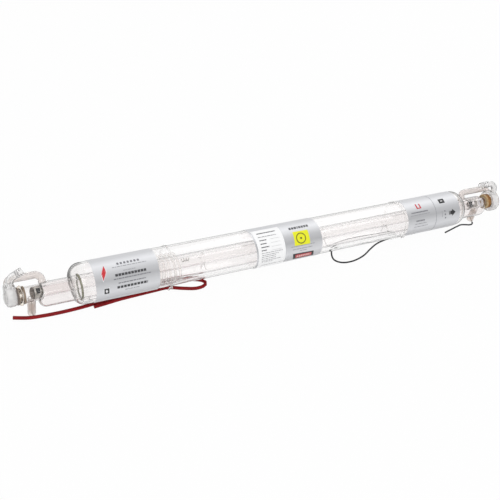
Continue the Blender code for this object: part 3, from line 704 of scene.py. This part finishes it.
# Painted shade: the inside of the sleeve past the window is near black.
painted_shade_inside = mottled("painted_shade_nickel", (0.004, 0.0035, 0.003), (0.026, 0.022, 0.019), 0.6, 300.0,
                    0.35)
browned = mottled("browned_nickel", (0.13, 0.10, 0.08), (0.28, 0.225, 0.185), 0.5, 300.0, 0.35)
electrode("anode_sleeve", 29.5, 41.2, 6.9, 37.4, "anode_electrode")
electrode("cathode_sleeve", 676.5, 687.5, 5.7, 681, "cathode_electrode")


# The rear mirror is a coated disc. Dark resin cement seals it to a glass seat, a brown bead
# of the same cement holds the seat in the head, and the mirror's back shows through the cap.
mirror_coat = mottled("dark_mirror", (0.15, 0.12, 0.105), (0.27, 0.23, 0.205), 0.22, 180.0, 0.35,
                      Metallic=0.7)
mirror = lathe("rear_mirror_disc", [(12.8, 0), (12.8, 7.7), (13.1, 8.0), (15.5, 8.0),
                                    (15.8, 7.7), (15.8, 0)], steps=72)
settle(mirror, mirror_coat, "mirror_silicon", "rear_mirror")

dark_cement = mottled("dark_resin", (0.17, 0.135, 0.115), (0.36, 0.30, 0.26), 0.3, 320.0,
                      Transmission_Weight=0.35, IOR=1.52)
seal = lathe("rear_cement_ring", round_box(13.0, 15.6, 10.4, 8.3, 0.6, 4), steps=72)
settle(seal, dark_cement, "amber_cement", "rear_seal_ring")

seat_glass = clear_glass("seat_glass", (0.90, 0.84, 0.76), (0.38, 0.28, 0.19), 0.4)
seat = lathe("mirror_seat_ring", [(16.1, 6.8), (16.1, 11.0)] + arc(18.3, 10.8, 1.2, 90, 0, 6)
             + [(19.5, 6.8)], steps=80)
settle(seat, seat_glass, "borosilicate_glass", "rear_mirror_seat")

brown_cement = mottled("brown_cement", (0.30, 0.21, 0.135), (0.50, 0.39, 0.28), 0.35, 320.0,
                       Transmission_Weight=0.3, IOR=1.5)
bead = lathe("mouth_cement_bead", round_box(20.4, 22.8, 10.5, 9.4, 0.6, 4), steps=80)
settle(bead, brown_cement, "amber_cement")


# The rear water cap is a round box of thick glass that leans up past the mirror's back. Its
# hose nozzle and its bridge tube open into the top, and the mirror closes its lower side.
REAR_PORT = 6.75
cap_glass = clear_glass("cap_glass", (0.93, 0.922, 0.918), (0.46, 0.45, 0.44), 0.5, milk=0.3,
                        roughness=0.08, index=1.33)
rear_cap = lathe("rear_cap_shell", round_box(1, 12.5, 14, 0, 3), AXIS + 0.0045, 80)
cut(rear_cap, lathe("room", round_box(2.3, 11.2, 12.7, 0, 1.7), AXIS + 0.0045, 80))
cut(rear_cap, lathe("boss", [(0, 0)] + arc(0.5, 5.7, 0.5, 180, 90, 3)
                    + [(1.6, 7.2), (1.6, 0)], steps=64), "UNION")
cut(rear_cap, bar(beside(9.5, 0), beside(15.5, 0), 0.0063, 64))
for lean in (0.0, LEAN):
    cut(rear_cap, bar(beside(REAR_PORT, 13, lean), beside(REAR_PORT, 22, lean), BRIDGE_HOLE))
settle(rear_cap, cap_glass, "borosilicate_glass", "rear_water_cap")


# The output stack is cemented to the ground mouth of the front head: a glass flange stained
# amber by the cement, a brass seat, the amber zinc selenide coupler, and the brass ring that
# holds it in the cap.
# The ground glass ring glows a little: painted light.
white_ground = principled("ground_glass", (0.95, 0.95, 0.97), 0.45, Transmission_Weight=0.2,
                          IOR=1.47, Emission_Strength=0.12,
                          Emission_Color=(0.97, 0.96, 1.0, 1.0))
bump(white_ground, 1500.0, 0.2, 0.0002)
ground_mouth = lathe("ground_mouth_ring", [(698.4, 2.6), (698.4, 5.6), (699.9, 5.9), (699.9, 2.6)],
                     steps=64)
settle(ground_mouth, white_ground, "borosilicate_glass")

amber_cement = principled("amber_cement", (0.60, 0.42, 0.21), 0.3, Transmission_Weight=0.2,
                          IOR=1.5)
ramp(amber_cement.node_tree, clouds(amber_cement.node_tree, 350.0),
     [(0.3, (0.44, 0.26, 0.10)), (0.5, (0.60, 0.42, 0.21)), (0.7, (0.74, 0.60, 0.38))],
     shader_sockets(amber_cement)["Base Color"])
flange = lathe("front_flange_disc", [(703.3, 6.2), (703.3, 10.0), (705.3, 11.0), (705.6, 11.0),
                                     (705.9, 10.7), (705.9, 6.2)], steps=80)
settle(flange, amber_cement, "borosilicate_glass", "front_flange")

turned_brass = mottled("turned_brass", (0.24, 0.10, 0.03), (0.50, 0.27, 0.10), 0.28, 400.0,
                       stretch=(6.0, 0.6, 0.6), Metallic=0.85)
brass_seat = lathe("coupler_seat_ring", [(706.2, 7.4), (706.2, 10.0), (706.5, 10.3),
                                         (708.0, 10.3), (708.2, 10.0), (708.5, 10.0),
                                         (708.7, 10.3), (710.4, 10.3), (710.7, 10.0),
                                         (710.7, 7.4)])
settle(brass_seat, turned_brass, "brass", "coupler_seat")
retainer = lathe("retainer_ring", [(714.5, 7.2), (714.5, 10.1), (714.7, 10.3), (716.3, 10.3),
                                   (716.7, 9.9), (716.7, 7.7), (716.2, 7.2)])
settle(retainer, turned_brass, "brass", "coupler_retainer")

amber = mottled("amber_selenide", (0.71, 0.375, 0.09), (0.79, 0.425, 0.11), 0.08, 120.0, IOR=2.4,
                Transmission_Weight=0.55)
coupler = lathe("coupler_disc", [(711.0, 0), (711.0, 8.7), (711.3, 9.0), (713.9, 9.0),
                                 (714.2, 8.7), (714.2, 0)], steps=72)
settle(coupler, amber, "zinc_selenide", "output_coupler")


# The front water cap is a ring shaped box, blown from glass and fitted round the coupler. It
# cools the coupler's rim and leaves its middle open for the beam.
FRONT_PORT = 717.2
ring_glass = clear_glass("ring_glass", (0.955, 0.947, 0.943), (0.57, 0.56, 0.55), 0.5, milk=0.3,
                         roughness=0.08, index=1.33)
front_cap = lathe("front_cap_shell", round_box(711.5, 723, 15.5, 10.8, 2.2))
cut(front_cap, lathe("room", round_box(712.8, 721.7, 14.2, 12.1, 0.9)))
for lean in (0.0, LEAN):
    cut(front_cap, bar(beside(FRONT_PORT, 13.2, lean), beside(FRONT_PORT, 22.2, lean),
                       BRIDGE_HOLE))
settle(front_cap, ring_glass, "borosilicate_glass", "front_water_cap")


# Bridge tubes take the water over each head, from the jacket to the cap. They are bent in the
# flame from plain tube, so each is one pull of glass with two or three soft bends.
TUBE = 4.4


def flame_bent(name, start, lean, moves, wall):
    """A tube that rises from its start and bends in the plane through the axis at this lean.

    A move is a run, a turn of (degrees, bend radius), or a run to a new size [run, scale]. A
    station and a reach in mm give the start.
    """
    side = Vector((0, math.sin(lean), math.cos(lean)))
    hinge = Vector((0, -math.cos(lean), math.sin(lean)))
    heading = 90.0
    middle = beside(*start, lean)
    deselect()
    bpy.ops.mesh.primitive_circle_add(vertices=36, radius=TUBE * MM, location=middle,
                                      rotation=side.to_track_quat("Z", "Y").to_euler())
    tube = added(name)
    apply_place()
    bpy.ops.object.mode_set(mode="EDIT")
    bpy.ops.mesh.select_all(action="SELECT")
    for move in moves:
        angle = math.radians(heading)
        along = Vector((math.cos(angle), 0, 0)) + side * math.sin(angle)
        if isinstance(move, tuple):
            turn, bend = move
            left = Vector((-math.sin(angle), 0, 0)) + side * math.cos(angle)
            centre = middle + left * math.copysign(bend * MM, turn)
            bpy.ops.mesh.spin(steps=max(3, round(abs(turn) / 9)), angle=-math.radians(turn),
                              center=centre, axis=hinge)
            heading += turn
            arm = middle - centre
            arm.rotate(Matrix.Rotation(math.radians(turn), 3, hinge))
            middle = centre + arm
            continue
        run, swell = move if isinstance(move, list) else (move, 1.0)
        bpy.ops.mesh.extrude_region_move(TRANSFORM_OT_translate={"value": along * run * MM})
        middle = middle + along * run * MM
        if swell != 1.0:
            bpy.ops.transform.resize(value=(swell,) * 3, center_override=middle)
    closed_skin()
    bpy.ops.object.mode_set(mode="OBJECT")
    thicken(tube, wall, -1)
    return tube


bridge_glass = clear_glass("bridge_glass", (0.93, 0.89, 0.87), (0.50, 0.47, 0.45), 0.5,
                           milk=0.35, roughness=0.08, index=1.4)
rear_bridge = flame_bent("rear_bridge", (REAR_PORT, 14.9), LEAN,
                         [0.6, (-90, 4.8), 26.6, (-50, 6), 1.5, (-40, 5.5), 3.5], 1.3)
settle(rear_bridge, bridge_glass, "borosilicate_glass", "rear_bridge_tube")
front_bridge = flame_bent("front_bridge", (FRONT_PORT, 13.8), LEAN,
                          [0.6, (90, 4.8), 38.9, (90, 6), 3.8], 1.3)
settle(front_bridge, bridge_glass, "borosilicate_glass", "front_bridge_tube")


# The hose nozzles are glass tubes that bend over from the tops of the caps. Three moulded
# barbs grip the hose, softer ones on the front nozzle, and the mouth is fire polished.
REAR_BARB = [[0.3, 0.93], [0.6, 1.18], [1.6, 0.911]]
FRONT_BARB = [[0.4, 0.95], [0.9, 1.11], [2.6, 0.948]]
nozzle_glass = clear_glass("nozzle_glass", (0.95, 0.945, 0.942), (0.22, 0.22, 0.22), 0.5,
                           milk=0.12, index=1.36)
rear_nozzle = flame_bent("rear_nozzle", (REAR_PORT, 17.3), 0.0,
                         [6, (-62, 11), 1.5] + REAR_BARB * 3 + [0.5], 1.2)
settle(rear_nozzle, nozzle_glass, "borosilicate_glass", "rear_hose_nozzle")
front_nozzle = flame_bent("front_nozzle", (FRONT_PORT, 14.1), 0.0,
                          [2, (90, 17), 3] + FRONT_BARB * 3 + [0.3], 1.2)
settle(front_nozzle, nozzle_glass, "borosilicate_glass", "front_hose_nozzle")


# The labels are printed silver foil, glued round the envelope and open in a gap at the back,
# with a sheet of white paper over the centre one. The foil is satin, and painted reflection and
# shade turn its colour from pale to grey and back round the tube.
def round_angle(tree):
    """The angle round the tube's axis from its top, as 0 to 1 for -180 to 180 degrees."""
    above = reckon(tree, "SUBTRACT", place_along(tree, "Z"), AXIS)
    turn = reckon(tree, "ARCTAN2", place_along(tree, "Y"), above)
    return reckon(tree, "MULTIPLY_ADD", turn, 1 / math.tau, 0.5)


def grey(level):
    """A cool linear grey from a level as it is seen, 0 to 255."""
    linear = (level / 255) ** 2.2
    return (linear, linear * 1.005, linear * 1.03)


# Painted reflection and shade on the foil: its grey, as seen, at each turn round the tube.
PAINTED_SHEEN_ROUND = [(-180, 205), (-130, 214), (-110, 200), (-86, 230), (-68, 214), (-52, 186), (-36, 200),
        (-20, 228), (-8, 238), (12, 218), (60, 205), (180, 205)]
foil = principled("silver_foil_painted_sheen", (0.7, 0.7, 0.72), 0.42, Metallic=0.15)
ramp(foil.node_tree, round_angle(foil.node_tree),
     [((turn + 180) / 360, grey(level)) for turn, level in PAINTED_SHEEN_ROUND],
     shader_sockets(foil)["Base Color"])
bump(foil, 90.0, 0.06, 0.0006, stretch=(1.0, 3.0, 3.0))


def turn_from(place, middle):
    """How many degrees a place lies round the axis from the middle of a sheet."""
    turn = math.degrees(math.atan2(place.y, place.z - AXIS))
    return (turn - middle + 180) % 360 - 180


def wrapped(name, near, far, inner, outer, middle, spread, slant=0.0):
    """A sheet rolled on the tube, with a thickness, and a slant in mm a degree if it is askew."""
    deselect()
    bpy.ops.mesh.primitive_cylinder_add(vertices=120, radius=inner * MM,
                                        depth=(far - near) * MM, end_fill_type="NOTHING",
                                        location=(at((near + far) / 2), 0, AXIS),
                                        rotation=(0, math.radians(90), 0))
    sheet = added(name)
    apply_place()
    bpy.ops.object.mode_set(mode="EDIT")
    mesh = bmesh.from_edit_mesh(sheet.data)
    for face in mesh.faces:
        face.select_set(abs(turn_from(face.calc_center_median(), middle)) > spread / 2)
    bmesh.update_edit_mesh(sheet.data)
    bpy.ops.mesh.delete(type="FACE")
    bpy.ops.object.mode_set(mode="OBJECT")
    thicken(sheet, outer - inner, 1)
    for vertex in sheet.data.vertices:
        vertex.co.x -= slant * turn_from(vertex.co, middle) * MM
    return sheet


FACING = -45
FOIL_INSIDE = 25.32
FOIL_OUTSIDE = 25.48
# The inside of each foil is white and glows a little: painted light, in place of the light that
# comes in through the glass.
glowing_backing = mottled("white_backing_painted_glow", (0.86, 0.85, 0.85), (0.93, 0.92, 0.92), 0.8, 500.0,
                  Emission_Strength=0.62, Emission_Color=(0.96, 0.95, 0.95, 1.0))
for name, near, far, slant in (("rear_label", 98.9, 177.6, 0.0),
                               ("centre_label", 307.8, 404.8, 0.02),
                               ("front_label", 546, 638, 0.0)):
    sheet = wrapped(f"{name}_foil", near, far, FOIL_INSIDE, FOIL_OUTSIDE, FACING, 290, slant)
    sheet.data.materials.append(foil)
    sheet.data.materials.append(glowing_backing)
    for face in sheet.data.polygons:
        face.material_index = int(off_axis(face) < (FOIL_INSIDE + 0.04) * MM)
    settle(sheet, foil, "silver_foil", name)

# The paper glows a little: painted light that brightens it.
paper = mottled("matt_paper", (0.945, 0.945, 0.94), (0.975, 0.975, 0.975), 0.7, 700.0,
                Emission_Strength=0.13, Emission_Color=(1.0, 1.0, 1.0, 1.0))
table = wrapped("table_sheet", 310.4, 349.4, 25.8, 25.95, -66, 148, 0.02)
settle(table, paper, "white_paper", "data_label")


# The print is thin ink in plain blocks, bars and simple shapes. It is laid out flat, as on the
# printer's sheet, and then rolled on the labels.
ON_FOIL = 25.56
OVER_PRINT = 25.62
ON_PAPER = 26.0


def ink(name, colour, slot, bars, shapes=(), radius=ON_FOIL):
    """Bars of (left, right, turn, height) and four-cornered shapes of (station, turn)."""
    degree = radius * math.pi / 180
    corners = [[(left, turn * degree + high / 2), (right, turn * degree + high / 2),
                (right, turn * degree - high / 2), (left, turn * degree - high / 2)]
               for left, right, turn, high in bars]
    corners += [[(station, turn * degree) for station, turn in shape] for shape in shapes]
    deselect()
    bpy.ops.mesh.primitive_plane_add(size=MM)
    sheet = added(name)
    bpy.ops.object.mode_set(mode="EDIT")
    for count in range(len(corners) - 1):
        bpy.ops.mesh.primitive_plane_add(size=MM)
    bpy.ops.object.mode_set(mode="OBJECT")
    for face, shape in zip(sheet.data.polygons, corners):
        for vertex, (station, across) in zip(face.vertices, shape):
            sheet.data.vertices[vertex].co = (at(station), across * MM, 0)
    bpy.ops.object.mode_set(mode="EDIT")
    bpy.ops.mesh.select_all(action="SELECT")
    bpy.ops.mesh.subdivide(number_cuts=4)
    bpy.ops.object.mode_set(mode="OBJECT")
    for vertex in sheet.data.vertices:
        turn = vertex.co.y / (radius * MM)
        rolled = Vector((0, math.sin(turn), math.cos(turn))) * radius * MM
        vertex.co = (vertex.co.x, rolled.y, AXIS + rolled.z)
    bpy.ops.object.mode_set(mode="EDIT")
    bpy.ops.mesh.select_all(action="SELECT")
    bpy.ops.mesh.normals_make_consistent(inside=False)
    bpy.ops.object.mode_set(mode="OBJECT")
    thicken(sheet, 0.04, 1)
    worn = tuple(min(1, part * 1.15 + 0.004) for part in colour)
    settle(sheet, mottled(name + "_ink", colour, worn, 0.5, 1200.0, 0.3, 0.8), slot)


def words(left, right, turn, high, widths=(3.0, 1.5, 3.8, 2.2, 4.6), gap=0.7):
    """A row of plain blocks of these widths in turn, as bars for ink."""
    blocks = []
    while left < right - 0.5:
        wide = min(widths[len(blocks) % len(widths)], right - left)
        blocks.append((left, left + wide, turn, high))
        left += wide + gap
    return blocks


LOZENGE = [(112.9, -9.8), (107.6, -32.0), (108.6, -50.5), (113.9, -28.7)]
ink("white_edging", (0.86, 0.87, 0.88), "silver_foil",
    [(107.7, 115.0, -80.9, 9.0), (604.7, 615.6, -15.0, 8.6)],
    [[(113.3, -6.8), (106.8, -32.0), (108.2, -54.0), (114.7, -28.0)]], 25.53)
ink("bold_print", (0.045, 0.045, 0.05), "silver_foil",
    words(123.4, 161.4, -42.6, 3.0, (3.2,), 0.7) + words(124.1, 161.7, -76.0, 3.1, (3.2,), 0.9)
    + words(361.3, 390.6, -8.2, 3.5, (2.7, 2.7, 3.2, 1.5, 2.7, 2.7), 1.1))
ink("grey_print", (0.19, 0.19, 0.21), "silver_foil",
    words(128.6, 156.4, -11.2, 2.9, (2.4,), 1.8) + words(125.8, 159.3, -64.2, 1.2)
    + words(120.8, 166.3, -52.3, 1.1) + words(553.0, 581.2, -37.1, 1.7, (1.9,), 0.5)
    + words(559.6, 573.9, -64.5, 2.0, (1.9,), 0.6)
    + [(609.6, 611.4, -49.6, 1.9), (609.9, 611.9, -60.7, 2.2), (610.6, 612.6, -72.1, 2.2)])
ink("fine_print", (0.36, 0.36, 0.38), "silver_foil",
    words(121.8, 164.1, -20.4, 0.9) + words(134.0, 148.9, -33.2, 0.9)
    + words(133.8, 151.2, -87.0, 1.0) + words(551.0, 584.1, -45.4, 1.1)
    + words(558.0, 577.7, -74.3, 1.0) + words(557.0, 581.1, -84.1, 1.1)
    + words(358.0, 393.1, -64.8, 1.0) + words(360.2, 389.7, -73.7, 1.0)
    + words(371.6, 381.8, -80.8, 0.9) + [(605.2, 606.0, -58.0, 9.0)])
ink("black_shapes", (0.012, 0.012, 0.014), "silver_foil",
    [(108.4, 114.3, -80.9, 7.5), (605.2, 615.1, -15.0, 7.3)],
    [[(361.5, -88.7), (392.8, -90.9), (395.8, -116.0), (364.5, -115.0)],
     [(617.8, -53.0), (623.7, -53.0), (623.7, -64.5), (617.8, -64.5)],
     [(623.4, -47.5), (629.6, -59.0), (623.4, -70.5), (623.4, -59.0)]])
ink("white_marks", (0.86, 0.86, 0.86), "silver_foil", [(608.3, 611.9, -15.0, 1.4)],
    [[(111.1, -75.4), (113.0, -80.9), (111.3, -86.4), (109.5, -80.9)],
     [(619.0, -53.0), (619.5, -53.0), (619.5, -64.5), (619.0, -64.5)]], OVER_PRINT)
ink("red_shapes", (0.62, 0.02, 0.03), "silver_foil",
    [(564.4, 566.4, -16.5, 7.2), (570.2, 572.2, -16.0, 6.4), (564.4, 572.2, -24.6, 1.3)], [LOZENGE])
ink("red_bar", (0.55, 0.06, 0.07), "silver_foil", [],
    [[(365.6, -93.3), (390.3, -95.4), (391.6, -110.9), (367.4, -109.8)]], OVER_PRINT)
ink("pale_bar_words", (0.86, 0.52, 0.50), "silver_foil",
    words(368.2, 389.2, -102.2, 3.6, (2.4,), 0.9), radius=25.68)
ink("yellow_field", (0.93, 0.93, 0.012), "silver_foil", [],
    [[(364.0, -20.8), (386.3, -22.0), (386.5, -63.9), (363.2, -62.4)]])
RING_STEPS = 24
RING = [(373.9 + reach * math.cos(turn), -43.0 + reach * 2.25 * math.sin(turn))
        for reach in (7.2, 6.0)
        for turn in [math.tau * step / RING_STEPS for step in range(RING_STEPS + 1)]]
ink("yellow_ring", (0.10, 0.09, 0.01), "silver_foil", [(372.7, 375.1, -43.0, 2.4)],
    [[RING[step], RING[step + 1], RING[step + RING_STEPS + 2], RING[step + RING_STEPS + 1]]
     for step in range(RING_STEPS)], OVER_PRINT)
ink("table_title", (0.09, 0.09, 0.10), "white_paper",
    words(314.6, 341.3, -5.0, 1.6, (2.6, 1.8), 0.4) + words(314.6, 325.2, -28.0, 1.3, (2.2,), 0.4)
    + words(314.8, 323.4, -38.2, 1.3, (2.2,), 0.4) + words(315.0, 326.4, -48.0, 1.3, (2.2,), 0.4)
    + words(314.7, 322.1, -57.0, 1.3, (2.2,), 0.4), radius=ON_PAPER)
ink("table_print", (0.30, 0.30, 0.31), "white_paper",
    words(314.0, 340.0, -17.5, 1.1) + words(314.4, 344.8, -65.0, 0.8)
    + words(315.2, 338.9, -71.0, 0.8) + words(314.9, 335.3, -76.5, 0.8)
    + words(314.6, 335.3, -82.6, 0.8) + words(314.9, 342.7, -88.8, 0.8)
    + words(315.4, 331.2, -94.0, 0.8) + words(317.2, 350.0, -109.0, 0.9), radius=ON_PAPER)
ink("table_lines", (0.62, 0.62, 0.62), "white_paper",
    [(329.5, 343.6, -27.9, 0.5), (329.1, 343.4, -38.8, 0.5), (329.7, 343.9, -50.0, 0.5),
     (329.5, 344.1, -59.9, 0.5)], radius=ON_PAPER)
seam = wrapped("label_seam", 594.8, 595.4, 25.52, 25.58, FACING, 286)
seam_shadow = mottled("seam_shadow", (0.26, 0.27, 0.29), (0.38, 0.39, 0.41), 0.6, 300.0)
settle(seam, seam_shadow, "silver_foil")


# The cable ties are straps of natural nylon, nearly as clear as the glass. Each is moulded
# with its head in one piece, and is pulled tight round the tube and the leads.
nylon = mottled("natural_nylon", (0.955, 0.95, 0.945), (0.985, 0.98, 0.975), 0.2, 500.0,
                Transmission_Weight=0.92, IOR=1.12)
for name in ("rear_cable_tie", "front_cable_tie"):
    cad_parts[name].material_slots[0].material = nylon


# The lamps are two large soft boxes and a white room. The floor shows white to the camera and
# in the glass, and keeps a faint shadow of the tube.
deselect()
SEEN = ("Is Camera Ray", "Is Glossy Ray", "Is Transmission Ray")
bpy.ops.mesh.primitive_plane_add(size=12.0, location=(0, 0, -0.0002))
floor = added("floor")
white_floor = principled("white_floor", (0.86, 0.86, 0.86), 0.9)
floor_tree = white_floor.node_tree
glow = floor_tree.nodes.new("ShaderNodeEmission")
glow.inputs["Color"].default_value = (1.0, 1.0, 1.0, 1.0)
blend(floor_tree, reckon(floor_tree, "MULTIPLY", ray_is(floor_tree, *SEEN), 0.97),
      floor_tree.nodes["Principled BSDF"].outputs["BSDF"], glow.outputs["Emission"],
      floor_tree.nodes["Material Output"].inputs["Surface"])
floor.data.materials.append(white_floor)
deselect()

world = bpy.data.worlds.new("studio")
bpy.context.scene.world = world
world.use_nodes = True
world_tree = world.node_tree
lit = world_tree.nodes["Background"]
lit.inputs["Color"].default_value = (0.98, 0.985, 1.0, 1.0)
lit.inputs["Strength"].default_value = 0.62
backdrop = world_tree.nodes.new("ShaderNodeBackground")
backdrop.inputs["Color"].default_value = (1.0, 1.0, 1.0, 1.0)
backdrop.inputs["Strength"].default_value = 1.0
blend(world_tree, ray_is(world_tree, *SEEN), lit.outputs["Background"],
      backdrop.outputs["Background"], world_tree.nodes["World Output"].inputs["Surface"])

for name, place, power, size in (("key_lamp", (-0.7, -1.1, 1.5), 9.0, 1.2),
                                 ("fill_lamp", (0.9, 0.8, 1.3), 5.0, 1.4)):
    lamp_data = bpy.data.lights.new(name, "AREA")
    lamp_data.energy = power
    lamp_data.size = size
    lamp = bpy.data.objects.new(name, lamp_data)
    lamp.location = place
    lamp.rotation_mode = "QUATERNION"
    lamp.rotation_quaternion = (-Vector(place)).to_track_quat("-Z", "Y")
    bpy.context.scene.collection.objects.link(lamp)

bpy.context.scene.view_settings.view_transform = "Standard"
bpy.context.scene.cycles.max_bounces = 32
bpy.context.scene.cycles.transmission_bounces = 32
bpy.context.scene.cycles.transparent_max_bounces = 32
